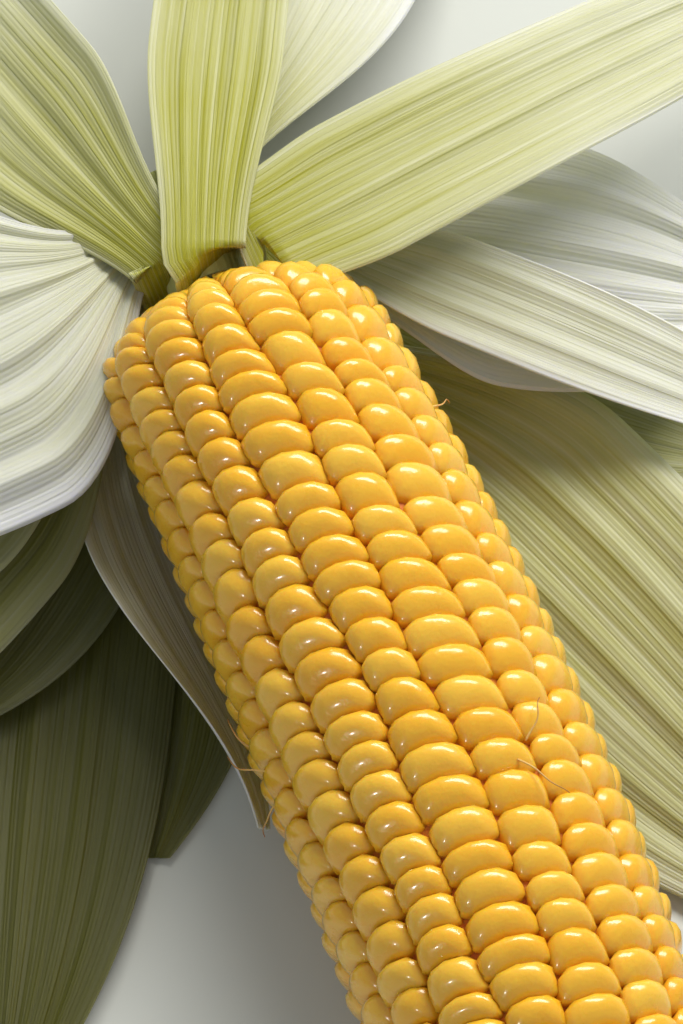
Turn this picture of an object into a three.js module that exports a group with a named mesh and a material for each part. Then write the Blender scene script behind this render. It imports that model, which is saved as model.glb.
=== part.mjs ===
// An ear of sweet corn with its husk peeled back: the ear (cob and kernels, grown as one piece), the shank
// that carries it, fifteen husk leaves and six strands of silk. Millimetres, +Z up. The ear lies along -Y with
// its butt end at the design origin, and the whole group is shifted at the end so that it stands on Z = 0.
import * as THREE from "three";

// Driving dimensions of the ear
const EAR_LENGTH = 180;
const EAR_RADIUS = 23.7; // where the ear is thickest
const BUTT_DOME = 16; // length of the rounded butt end
const TIP_TAPER = 85; // length of the narrowing tip end
const BUTT_FACE_RADIUS = 7.5; // bare face where the cob meets the shank
const TIP_RADIUS = 4;
const TIP_CAP = 1; // length of the blunt point past the last kernels
const DOME_ROUNDNESS = 3.6; // exponents of the two ends' outlines; 2 is an ellipse
const TIP_ROUNDNESS = 2.6;
const BARREL_MIDDLE = 77; // the ear is thickest here and thins both ways, by the square of the distance
const BARREL_THINNING = 0.00002;
const BOW_SLOPE = 0.107; // the ear bends a little, first to +X
const BOW_REACH = 209; // and back across its axis here
const AXIS_HEIGHT = 33.5; // of the butt end above the design plane
const AXIS_DROP = THREE.MathUtils.degToRad(5.5); // the ear slopes down towards its tip

// Kernels
const KERNEL_ROWS = 16;
const KERNELS_PER_ROW = 43;
const CREASE_DEPTH = 1.6;
const CREASE_SHARE = 0.2; // of the ear's radius at most, where the ear is thin
const KERNEL_STEPS = [0, 0.2, 0.8]; // crease and the two shoulders of a crown, as shares of a kernel
const KERNEL_DRIFT = 0.45; // how far the rows slip past each other round the ear, in kernels
const DRIFT_RAMP = 2; // kernels from each end of a row over which the slip grows
const TIP_KERNEL_SHARE = 0.9; // length of a kernel at the tip against one at the butt

// Shank
const SHANK_LENGTH = 18;
const SHANK_RADIUS = 6;
const SCAR_SWELL = 0.5; // ridge left by each ring of leaf bases
const SCAR_PLACES = [4, 9, 14];
const SCAR_SLOPE = 1; // length of the ridge's slope on each side
const SHANK_SIDES = 32;
const FIT_GAP = 0.35; // clearance between pieces that touch on the real plant

// Husk leaves
const LEAF_THICKNESS = 0.8;
const LEAF_STEPS_ALONG = 13;
const LEAF_STEPS_ACROSS = 6;
const LEAF_TIP_SHARE = 0.22; // width left at the blunt tip
const LEAF_CLOSING = 1.5; // exponent: how late a leaf closes in towards its tip
const CUP_START = 0.25; // share of a leaf's length over which its cup grows
const RIPPLE = 0.3; // height of the pleats
const TANGENT_STEP = 0.01; // share of a leaf's length over which its direction is taken

// Silk
const SILK_RADIUS = 0.22;
const SILK_SIDES = 6;
const SILK_STEPS = 8;
const SILK_STOPS = [0, 0.35, 0.7, 1];
const SILK_RISE = 0.5; // how far a strand stands up, in its own length, times share * (SILK_BOW - share)
const SILK_BOW = 1.3;

// Each leaf in plan is a curve that starts on the shank.
// seat: distance along the shank, angle round it (0 on top, positive to -X), gap over the leaves beneath.
// heading, turn: direction of its tip, from +Y round towards -X, and how much further round it sets out.
// foot, drop, rise: height of its tip, how steeply it falls from its seat (an exponent), how high it bows.
// width, base, widest: full width, share of it at the base, where along the leaf it is reached.
// roll: tilt at base and tip; positive lifts the side on the left hand of someone looking out along the leaf.
// cup: how far the edges lift, in half widths.
const LEAVES = [
  { name: "husk_leaf_left_broad", seat: [10.5, 90, 0.4], heading: 93, turn: 30, reach: 112,
    foot: 13, drop: 2, rise: 17, width: 52, base: 0.12, widest: 0.36, roll: [0, -12], cup: -0.1 },
  { name: "husk_leaf_left_second", seat: [9, 102, 0], heading: 107, turn: 8, reach: 108,
    foot: 10, drop: 3, rise: 9, width: 44, base: 0.14, widest: 0.45, roll: [-4, -2], cup: -0.04 },
  { name: "husk_leaf_left_third", seat: [11, 114, 0], heading: 120, turn: 4, reach: 106,
    foot: 8, drop: 4, rise: 8, width: 42, base: 0.14, widest: 0.45, roll: [0, 0], cup: 0 },
  { name: "husk_leaf_left_fourth", seat: [13, 126, 0], heading: 134, turn: 0, reach: 84,
    foot: 5, drop: 6, rise: 2, width: 38, base: 0.14, widest: 0.5, roll: [0, 0], cup: 0.02 },
  { name: "husk_leaf_left_lowest", seat: [16, 138, 0], heading: 151, turn: -14, reach: 136,
    foot: 2.4, drop: 8, rise: 0, width: 38, base: 0.14, widest: 0.45, roll: [0, 0], cup: 0.03 },
  { name: "husk_leaf_front_left", seat: [11, 168, 0], heading: 157, turn: -8, reach: 94,
    foot: 0.4, drop: 9, rise: 0, width: 34, base: 0.16, widest: 0.5, roll: [0, 0], cup: 0.02 },
  { name: "husk_leaf_curled", seat: [6.6, 132, 0], heading: 171, turn: -57, reach: 88,
    foot: 10, drop: 5, rise: 1, width: 18, base: 0.24, widest: 0.5, roll: [-10, -64], cup: 0.2 },
  { name: "husk_leaf_back_left", seat: [4, 40, 0.6], heading: 15, turn: 8, reach: 118,
    foot: 8, drop: 2, rise: 15, width: 28, base: 0.22, widest: 0.32, roll: [-46, 6], cup: 0.1 },
  { name: "husk_leaf_back", seat: [1.5, 2, 2.4], heading: -25, turn: 4, reach: 112,
    foot: 18, drop: 2, rise: 12, width: 20, base: 0.5, widest: 0.35, roll: [0, 0], cup: 0.12 },
  { name: "husk_leaf_back_under", seat: [14, -48, 0], heading: -42, turn: 0, reach: 118,
    foot: 0.4, drop: 2, rise: 4, width: 26, base: 0.2, widest: 0.5, roll: [20, 0], cup: 0.05 },
  { name: "husk_leaf_back_long", seat: [3.5, -12, 4.8], heading: -78, turn: -8, reach: 134,
    foot: 22, drop: 2, rise: 10, width: 21, base: 0.34, widest: 0.17, roll: [0, 2], cup: 0.1 },
  { name: "husk_leaf_right_wavy", seat: [12, -88, 0], heading: -114, turn: 4, reach: 92,
    foot: 10.5, drop: 3, rise: 6, width: 42, base: 0.16, widest: 0.5, roll: [0, 0], cup: 0.02 },
  { name: "husk_leaf_right_narrow", seat: [8.5, -78, 0], heading: -127, turn: 6, reach: 104,
    foot: 15, drop: 1.6, rise: 4, width: 16, base: 0.3, widest: 0.35, roll: [0, 12], cup: 0.1 },
  { name: "husk_leaf_right_under", seat: [15, -116, 0], heading: -130, turn: 4, reach: 96,
    foot: 0.4, drop: 7, rise: 0, width: 36, base: 0.16, widest: 0.5, roll: [0, 0], cup: 0.02 },
  { name: "husk_leaf_front_right", seat: [8, -140, 0], heading: -156, turn: 10, reach: 144,
    foot: 6.5, drop: 16, rise: 0.5, width: 52, base: 0.08, widest: 0.42, roll: [6, 25], cup: 0.06 },
];

// Each strand of silk rises out of a crease: distance from the butt, angle round the ear (0 on top, positive
// to -X), length, and the direction that it leans in, from the butt (0) round towards -X.
const SILK_STRANDS = [
  { along: 70, around: 76, length: 9, lean: 60 },
  { along: 74, around: 80, length: 7, lean: 120 },
  { along: 66, around: 83, length: 6, lean: 20 },
  { along: 82, around: -18, length: 8, lean: -150 },
  { along: 80, around: -24, length: 6, lean: -40 },
  { along: 30, around: -62, length: 5, lean: -80 },
];

const material = (color, roughness, metalness = 0) =>
  new THREE.MeshStandardMaterial({ color, roughness, metalness });

const kernelYellow = () => material(0xe0a419, 0.35);
const shankGreen = () => material(0xb9bd6c, 0.7);
const huskGreen = () => material(0xc3c27d, 0.65);
const silkAmber = () => material(0xd8b25a, 0.5);

const radians = THREE.MathUtils.degToRad;
const mix = THREE.MathUtils.lerp;

function namedMesh(name, geometry, finish) {
  const mesh = new THREE.Mesh(geometry, finish);
  mesh.name = name;
  return mesh;
}

// Triangles of a grid of points stored row by row. wrap joins the last column to the first.
function gridFaces(rows, columns, wrap, first = 0, flip = false) {
  const faces = [];
  const steps = wrap ? columns : columns - 1;
  for (let i = 0; i < rows - 1; i++) {
    for (let j = 0; j < steps; j++) {
      const a = first + i * columns + j;
      const b = first + i * columns + ((j + 1) % columns);
      const quad = flip ? [a, b, b + columns, a + columns] : [a, a + columns, b + columns, b];
      faces.push(quad[0], quad[1], quad[2], quad[0], quad[2], quad[3]);
    }
  }
  return faces;
}

function solidFrom(points, faces) {
  const geometry = new THREE.BufferGeometry();
  const numbers = points.flatMap((point) => point.toArray());
  geometry.setAttribute("position", new THREE.Float32BufferAttribute(numbers, 3));
  geometry.setIndex(faces);
  geometry.computeVertexNormals();
  return geometry;
}

// Radius over the kernel crowns at a distance from the butt: a rounded dome, a long barrel and a rounded tip.
function earRadius(along) {
  const barrel = EAR_RADIUS * (1 - BARREL_THINNING * (along - BARREL_MIDDLE) ** 2);
  const intoDome = Math.max(0, 1 - along / BUTT_DOME);
  const dome = Math.sqrt(1 - intoDome ** DOME_ROUNDNESS);
  const intoTip = Math.max(0, (along - EAR_LENGTH + TIP_TAPER) / TIP_TAPER);
  const tip = Math.sqrt(1 - intoTip ** TIP_ROUNDNESS);
  return Math.max(barrel * dome * tip, along < BUTT_DOME ? BUTT_FACE_RADIUS : TIP_RADIUS);
}

// How far the ear's middle line bows sideways, to +X, at a distance from the butt.
function earBow(along) {
  return BOW_SLOPE * along * (1 - along / BOW_REACH);
}

// Distance from the butt of a point a number of kernels along its row; kernels shorten towards the tip.
function alongAt(kernels) {
  const share = kernels / KERNELS_PER_ROW;
  const pace = (s) => s - ((1 - TIP_KERNEL_SHARE) * s * s) / 2;
  return (EAR_LENGTH * pace(share)) / pace(1);
}

// How far the kernels at an angle round the ear are out of step, in kernels; none at the two ends of a row.
function kernelDrift(kernels, angle) {
  const fromEnd = Math.min(kernels, KERNELS_PER_ROW - kernels);
  return KERNEL_DRIFT * Math.sin(2 * angle) * Math.min(1, fromEnd / DRIFT_RAMP);
}

// Cob and kernels as one skin: each kernel is a flat crown with sloping sides down to the creases round it.
function earSolid() {
  const steps = KERNEL_STEPS.length;
  const rings = steps * KERNELS_PER_ROW + 1;
  const columns = steps * KERNEL_ROWS;
  const points = [];
  for (let i = 0; i < rings; i++) {
    const kernels = Math.floor(i / steps) + KERNEL_STEPS[i % steps];
    for (let j = 0; j < columns; j++) {
      const angle = (2 * Math.PI * (Math.floor(j / steps) + KERNEL_STEPS[j % steps])) / KERNEL_ROWS;
      const along = alongAt(kernels + kernelDrift(kernels, angle));
      const full = earRadius(along);
      const crown = i % steps > 0 && j % steps > 0;
      const radius = crown ? full : full - Math.min(CREASE_DEPTH, CREASE_SHARE * full);
      const sideways = earBow(along) - Math.sin(angle) * radius;
      points.push(new THREE.Vector3(sideways, -along, Math.cos(angle) * radius));
    }
  }
  const faces = gridFaces(rings, columns, true, 0, true);
  const butt = points.push(new THREE.Vector3(0, 0, 0)) - 1;
  const tip = points.push(new THREE.Vector3(earBow(EAR_LENGTH), -EAR_LENGTH - TIP_CAP, 0)) - 1;
  const last = (rings - 1) * columns;
  for (let j = 0; j < columns; j++) {
    const next = (j + 1) % columns;
    faces.push(butt, next, j);
    faces.push(tip, last + j, last + next);
  }
  return solidFrom(points, faces);
}

// The shank: a stub with a ridge at each ring of leaf bases and a flat cut end.
function shankSolid() {
  const outline = [new THREE.Vector2(0, FIT_GAP), new THREE.Vector2(SHANK_RADIUS, FIT_GAP)];
  for (const place of SCAR_PLACES) {
    outline.push(new THREE.Vector2(SHANK_RADIUS, place - SCAR_SLOPE));
    outline.push(new THREE.Vector2(SHANK_RADIUS + SCAR_SWELL, place));
    outline.push(new THREE.Vector2(SHANK_RADIUS, place + SCAR_SLOPE));
  }
  outline.push(new THREE.Vector2(SHANK_RADIUS, SHANK_LENGTH), new THREE.Vector2(0, SHANK_LENGTH));
  return new THREE.LatheGeometry(outline, SHANK_SIDES);
}

// Half width of a leaf at a share of its length: it widens from the base, then closes in to a blunt tip.
function leafHalfWidth(leaf, share) {
  const growing = THREE.MathUtils.smoothstep(share, 0, leaf.widest);
  const closing = Math.max(0, (share - leaf.widest) / (1 - leaf.widest));
  const tipped = mix(LEAF_TIP_SHARE, 1, Math.cos((Math.PI / 2) * closing ** LEAF_CLOSING));
  return (leaf.width / 2) * mix(leaf.base, 1, growing) * tipped;
}

// Point on a leaf's midrib at a share of its length.
function midrib(leaf, share) {
  const [seatAlong, seatAround, standOff] = leaf.seat;
  const start = SHANK_RADIUS + SCAR_SWELL + FIT_GAP + RIPPLE + LEAF_THICKNESS + standOff;
  const seatX = -start * Math.sin(radians(seatAround));
  const seatZ = AXIS_HEIGHT + seatAlong * Math.sin(AXIS_DROP) + start * Math.cos(radians(seatAround));
  const out = (leaf.reach - start) * share;
  const left = 1 - share;
  const heading = radians(leaf.heading + leaf.turn * left ** 2);
  const height = leaf.foot + (seatZ - leaf.foot) * left ** leaf.drop + 4 * leaf.rise * share * left;
  return new THREE.Vector3(seatX - out * Math.sin(heading), seatAlong + out * Math.cos(heading), height);
}

// Point on a leaf's middle surface, across from -1 on the right-hand edge to 1 on the left-hand edge, and the
// surface's normal there.
function leafPoint(leaf, share, across) {
  const centre = midrib(leaf, share);
  const before = midrib(leaf, Math.max(0, share - TANGENT_STEP));
  const tangent = midrib(leaf, Math.min(1, share + TANGENT_STEP)).sub(before).normalize();
  const level = new THREE.Vector3(-tangent.y, tangent.x, 0).normalize();
  const side = level.applyAxisAngle(tangent, radians(mix(leaf.roll[0], leaf.roll[1], share)));
  const normal = new THREE.Vector3().crossVectors(tangent, side);
  const half = leafHalfWidth(leaf, share);
  const lift = leaf.cup * half * across ** 2 * THREE.MathUtils.smoothstep(share, 0, CUP_START);
  const ripple = RIPPLE * Math.cos(((across + 1) / 2) * LEAF_STEPS_ACROSS * Math.PI);
  return {
    place: centre.addScaledVector(side, across * half).addScaledVector(normal, lift + ripple),
    normal,
  };
}

// A leaf as a thin closed solid: its upper and lower faces are grids that share a rim.
function leafSolid(leaf) {
  const rows = LEAF_STEPS_ALONG + 1;
  const columns = LEAF_STEPS_ACROSS + 1;
  const upper = [];
  const lower = [];
  for (let i = 0; i < rows; i++) {
    for (let j = 0; j < columns; j++) {
      const { place, normal } = leafPoint(leaf, i / LEAF_STEPS_ALONG, (2 * j) / LEAF_STEPS_ACROSS - 1);
      upper.push(place.clone().addScaledVector(normal, LEAF_THICKNESS / 2));
      lower.push(place.clone().addScaledVector(normal, -LEAF_THICKNESS / 2));
    }
  }
  const under = upper.length;
  const faces = [...gridFaces(rows, columns, false, 0), ...gridFaces(rows, columns, false, under, true)];
  const rim = rimOf(rows, columns);
  rim.forEach((a, k) => {
    const b = rim[(k + 1) % rim.length];
    faces.push(a, under + b, under + a, a, b, under + b);
  });
  return solidFrom([...upper, ...lower], faces);
}

// Indices round the border of a grid, in one turn.
function rimOf(rows, columns) {
  const lastRow = rows - 1;
  const lastColumn = columns - 1;
  const first = Array.from({ length: lastColumn }, (_, j) => j);
  const right = Array.from({ length: lastRow }, (_, i) => i * columns + lastColumn);
  const back = Array.from({ length: lastColumn }, (_, j) => lastRow * columns + lastColumn - j);
  const left = Array.from({ length: lastRow }, (_, i) => (lastRow - i) * columns);
  return [...first, ...right, ...back, ...left];
}

// A strand of silk: a thin tube that rises from a crease and bows over.
function silkSolid(strand) {
  const around = radians(strand.around);
  const lean = radians(strand.lean);
  const outward = new THREE.Vector3(-Math.sin(around), 0, Math.cos(around));
  const sideways = new THREE.Vector3(-Math.cos(around), 0, -Math.sin(around));
  const lying = new THREE.Vector3(0, Math.cos(lean), 0).addScaledVector(sideways, Math.sin(lean));
  const foot = outward.clone().multiplyScalar(earRadius(strand.along) + FIT_GAP + SILK_RADIUS);
  foot.x += earBow(strand.along);
  foot.y = -strand.along;
  const stops = SILK_STOPS.map((share) =>
    foot
      .clone()
      .addScaledVector(lying, strand.length * share)
      .addScaledVector(outward, strand.length * SILK_RISE * share * (SILK_BOW - share)),
  );
  const corners = Array.from({ length: SILK_SIDES }, (_, k) => {
    const turn = (2 * Math.PI * k) / SILK_SIDES;
    return new THREE.Vector2(SILK_RADIUS * Math.cos(turn), SILK_RADIUS * Math.sin(turn));
  });
  const section = new THREE.Shape(corners);
  const extrudePath = new THREE.CatmullRomCurve3(stops);
  return new THREE.ExtrudeGeometry(section, { steps: SILK_STEPS, extrudePath });
}

// The ear, shank and silk share the sloping axis; the leaves are laid out level round the shank.
const onAxis = new THREE.Group();
onAxis.position.set(0, 0, AXIS_HEIGHT);
onAxis.rotation.x = AXIS_DROP;
onAxis.add(namedMesh("ear", earSolid(), kernelYellow()));
onAxis.add(namedMesh("shank", shankSolid(), shankGreen()));
SILK_STRANDS.forEach((strand, k) => {
  onAxis.add(namedMesh(`silk_strand_${k + 1}`, silkSolid(strand), silkAmber()));
});

const corn = new THREE.Group();
corn.add(onAxis);
LEAVES.forEach((leaf) => {
  corn.add(namedMesh(leaf.name, leafSolid(leaf), huskGreen()));
});

// Stand the finished part on Z = 0, centred on X and Y.
corn.updateMatrixWorld(true);
const box = new THREE.Box3().setFromObject(corn, true);
const middle = box.getCenter(new THREE.Vector3());
corn.position.set(-middle.x, -middle.y, -box.min.z);

export default corn;
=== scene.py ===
"""An ear of yellow sweet corn lying on its peeled-back husk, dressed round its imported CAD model.

Sizes in the classes and tables are millimetres and degrees, as the CAD source has them. They become metres in the
row frame where a mesh is made.
"""

import logging
import math
from dataclasses import dataclass, field
from enum import Enum

import bpy
import numpy as np
from mathutils import Matrix, Vector


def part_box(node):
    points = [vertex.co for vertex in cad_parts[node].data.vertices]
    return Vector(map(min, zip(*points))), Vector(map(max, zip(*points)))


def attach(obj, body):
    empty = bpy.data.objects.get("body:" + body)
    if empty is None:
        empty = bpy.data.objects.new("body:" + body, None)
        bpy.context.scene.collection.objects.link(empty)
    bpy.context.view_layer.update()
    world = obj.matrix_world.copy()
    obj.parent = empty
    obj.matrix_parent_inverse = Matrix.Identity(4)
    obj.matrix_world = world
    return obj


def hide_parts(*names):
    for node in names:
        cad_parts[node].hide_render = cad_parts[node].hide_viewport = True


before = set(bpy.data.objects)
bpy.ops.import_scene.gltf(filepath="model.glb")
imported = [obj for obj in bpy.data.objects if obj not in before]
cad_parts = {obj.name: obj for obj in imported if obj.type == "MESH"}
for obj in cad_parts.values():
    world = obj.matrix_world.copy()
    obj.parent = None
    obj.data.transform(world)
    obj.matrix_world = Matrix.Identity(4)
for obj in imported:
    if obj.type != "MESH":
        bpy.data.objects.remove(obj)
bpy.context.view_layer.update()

MM = 0.001
BODY = "root"
# Clearance between pieces, and the pleats and thickness of the CAD source's leaves, all under a leaf's seat
FIT_GAP = 0.35
CAD_RIPPLE = 0.3
CAD_LEAF = 0.8
TUCK_SHARE = 0.1  # share of a leaf's length that is added at its base for the tuck
TUCK_CURVE = 1.4  # exponent: how gently a tuck leaves the seat
TANGENT_STEP = 0.01  # share of a leaf's length over which its direction is taken
ARC_EDGE = 0.02  # closest that a kernel's point comes to either end of the ear's outline
LOG = logging.getLogger("corn")

Colour = tuple[float, float, float, float]
Triple = tuple[float, float, float]


class Slot(Enum):
    """Material slots of the record."""

    KERNELS = "kernels"
    SHANK = "shank"
    HUSK = "husk"
    SILK = "silk"


def srgb(red: int, green: int, blue: int) -> Colour:
    """Linear colour of an sRGB triple: ((c + 0.055) / 1.055) ** 2.4, or c / 12.92 where c is at most 0.04045.

    Args:
        red: Red, 0 to 255.
        green: Green, 0 to 255.
        blue: Blue, 0 to 255.

    Returns:
        Linear red, green and blue, and an alpha of 1.
    """
    parts = [c / 255 for c in (red, green, blue)]
    lit = [((c + 0.055) / 1.055) ** 2.4 if c > 0.04045 else c / 12.92 for c in parts]
    return (lit[0], lit[1], lit[2], 1.0)


def smoothstep(low: float, high: float, value: np.ndarray) -> np.ndarray:
    """t * t * (3 - 2 * t), where t runs from 0 at low to 1 at high.

    Args:
        low: Where the step starts.
        high: Where it ends.
        value: Where it is read.

    Returns:
        The step, from 0 to 1.
    """
    t = np.clip((value - low) / (high - low), 0, 1)
    return t * t * (3 - 2 * t)


def mix(a: float, b: float, share: np.ndarray) -> np.ndarray:
    """a + (b - a) * share."""
    return a + (b - a) * share


# ---- node trees


class Number:
    """A number that a node gives, with Python's operators: an expression on it adds Math nodes."""

    def __init__(self, sheet: "NodeSheet", socket: bpy.types.NodeSocket) -> None:
        """Wraps a socket of a sheet."""
        self.sheet = sheet
        self.socket = socket

    def maths(self, operation: str, first: object, second: object = 0.0, clamp: bool = False) -> "Number":
        """operation(first, second) as one Math node.

        Args:
            operation: The Math node's operation.
            first: Number or float.
            second: Number or float.
            clamp: Whether the result is held between 0 and 1.

        Returns:
            The result.
        """
        settings = {"operation": operation, "use_clamp": clamp}
        return self.sheet.number("ShaderNodeMath", settings, {0: first, 1: second})

    def __add__(self, other: object) -> "Number":
        """self + other."""
        return self.maths("ADD", self, other)

    def __sub__(self, other: object) -> "Number":
        """self - other."""
        return self.maths("SUBTRACT", self, other)

    def __rsub__(self, other: object) -> "Number":
        """other - self."""
        return self.maths("SUBTRACT", other, self)

    def __mul__(self, other: object) -> "Number":
        """self * other."""
        return self.maths("MULTIPLY", self, other)

    def __pow__(self, other: object) -> "Number":
        """self ** other."""
        return self.maths("POWER", self, other)

    def sine(self) -> "Number":
        """Sine of self."""
        return self.maths("SINE", self)

    def held(self) -> "Number":
        """self, held between 0 and 1."""
        return self.maths("ADD", self, 0.0, clamp=True)


class NodeSheet:
    """The node tree of one material."""

    def __init__(self, name: str) -> None:
        """Starts an empty tree.

        Args:
            name: The material's name.
        """
        self.material = bpy.data.materials.new(name)
        self.material.use_nodes = True
        self.tree = self.material.node_tree
        self.tree.nodes.clear()

    def join(self, value: object, target: bpy.types.NodeSocket) -> None:
        """Links a Number or a socket to target, or sets target to a plain value."""
        if isinstance(value, Number):
            self.tree.links.new(value.socket, target)
        elif isinstance(value, bpy.types.NodeSocket):
            self.tree.links.new(value, target)
        else:
            target.default_value = value

    def node(self, kind: str, settings: dict[str, object], sockets: dict[object, object]) -> bpy.types.Node:
        """Makes any node.

        Args:
            kind: The node's type.
            settings: Its properties, set first.
            sockets: Values or links of its inputs, by name or number.

        Returns:
            The node.
        """
        made = self.tree.nodes.new(kind)
        for key, value in settings.items():
            setattr(made, key, value)
        for key, value in sockets.items():
            self.join(value, made.inputs[key])
        return made

    def number(self, kind: str, settings: dict[str, object], sockets: dict[object, object],
               output: object = 0) -> Number:
        """One output of a new node as a Number."""
        return Number(self, self.node(kind, settings, sockets).outputs[output])

    def attribute(self, name: str) -> Number:
        """The number that a piece's mesh holds under a name."""
        return self.number("ShaderNodeAttribute", {"attribute_name": name}, {}, "Fac")

    def noise(self, scale: float, detail: float = 2.0, stretch: Triple = (1.0, 1.0, 1.0)) -> Number:
        """Noise from 0 to 1 on Object coordinates.

        Args:
            scale: Features to a metre.
            detail: Octaves.
            stretch: Scale on each axis.

        Returns:
            The noise.
        """
        place = self.node("ShaderNodeTexCoord", {}, {}).outputs["Object"]
        turned = self.node("ShaderNodeMapping", {}, {"Vector": place, "Scale": stretch}).outputs[0]
        return self.number("ShaderNodeTexNoise", {}, {"Vector": turned, "Scale": scale, "Detail": detail})

    def blend(self, share: object, a: object, b: object) -> bpy.types.NodeSocket:
        """Colour a where share is 0 and b where it is 1.

        Args:
            share: Number or float.
            a: Colour or socket.
            b: Colour or socket.

        Returns:
            The mixed colour.
        """
        settings = {"data_type": "RGBA", "blend_type": "MIX", "clamp_factor": True}
        made = self.node("ShaderNodeMix", settings, {0: share})
        self.join(a, made.inputs[6])
        self.join(b, made.inputs[7])
        return made.outputs[2]

    def bump(self, height: Number, distance: float, strength: float = 1.0) -> bpy.types.NodeSocket:
        """Normal for a height, which is in units of distance, in metres."""
        sockets = {"Height": height, "Distance": distance, "Strength": strength}
        return self.node("ShaderNodeBump", {}, sockets).outputs[0]

    def surface(self, sockets: dict[object, object]) -> bpy.types.Material:
        """Ends the tree in a Principled shader with these inputs and returns the material."""
        shader = self.node("ShaderNodeBsdfPrincipled", {"subsurface_method": "RANDOM_WALK"}, sockets)
        output = self.node("ShaderNodeOutputMaterial", {}, {})
        self.tree.links.new(shader.outputs[0], output.inputs[0])
        return self.material


# ---- finishes


@dataclass(frozen=True)
class KernelFinish:
    """Skin of the kernels: golden, glossy and translucent, more orange low down between them, partly as painted
    crease shade.
    """

    golden: Colour = srgb(232, 176, 38)
    lemon: Colour = srgb(236, 192, 66)
    orange: Colour = srgb(226, 158, 28)
    # crease colour: partly the root's own deeper orange, partly painted crease shade
    crease: Colour = srgb(218, 124, 10)
    mottles_per_metre: float = 330.0
    pores_per_metre: float = 1400.0
    cloudiness: float = 0.35
    # how strongly the root's own orange and the painted crease shade cover the root
    crease_strength: float = 0.85
    roughness: float = 0.22
    relief: float = 0.00022
    translucency: float = 0.45
    scatter: Triple = (1.0, 0.46, 0.1)
    scatter_depth: float = 0.0026
    coat: float = 0.6
    coat_roughness: float = 0.1
    refraction: float = 1.42

    def material(self) -> bpy.types.Material:
        """Golden, tinted kernel by kernel, mottled at 3 mm, deeper towards the crease with painted crease shade.

        Tone runs from orange at about 0.1 over golden at 0.4 to lemon at 1; depth is 0 on the crown and 1 at the
        root, and the crease's colour goes with its square. That colour is partly the root's own deeper orange and
        partly painted crease shade.
        """
        sheet = NodeSheet("kernel_skin")
        tone, depth = (sheet.attribute(name) for name in ("tone", "depth"))
        mottle = sheet.noise(self.mottles_per_metre, 3.0)
        tinted = sheet.blend((tone * 1.5 - 0.6).held(), self.golden, self.lemon)
        warmed = sheet.blend((0.75 - tone * 2.2).held(), tinted, self.orange)
        cloudy = sheet.blend((mottle * 1.3 - 0.45).held() * self.cloudiness, warmed, self.lemon)
        # painted crease shade, with the root's own deeper orange, grows with depth squared
        base = sheet.blend((depth ** 2.0) * self.crease_strength, cloudy, self.crease)
        skin = sheet.noise(self.pores_per_metre, 2.0)
        return sheet.surface({
            "Base Color": base,
            "Roughness": (mottle * 0.12 + self.roughness).held(),
            "Normal": sheet.bump(skin * 0.5 + mottle, self.relief, 0.5),
            "Subsurface Weight": self.translucency,
            "Subsurface Radius": self.scatter,
            "Subsurface Scale": self.scatter_depth,
            "IOR": self.refraction,
            "Coat Weight": self.coat,
            "Coat Roughness": self.coat_roughness,
        })


@dataclass(frozen=True)
class CobFinish:
    """The cob between the kernels, seen only deep in the creases."""

    amber: Colour = srgb(196, 104, 14)
    straw: Colour = srgb(214, 140, 36)
    chaff_per_metre: float = 900.0
    relief: float = 0.0004

    def material(self) -> bpy.types.Material:
        """Amber, with straw-coloured chaff at 1 mm."""
        sheet = NodeSheet("cob_skin")
        chaff = sheet.noise(self.chaff_per_metre, 3.0)
        return sheet.surface({
            "Base Color": sheet.blend((chaff * 2.0 - 0.7).held(), self.amber, self.straw),
            "Roughness": (chaff * 0.2 + 0.55).held(),
            "Normal": sheet.bump(chaff, self.relief),
        })


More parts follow.
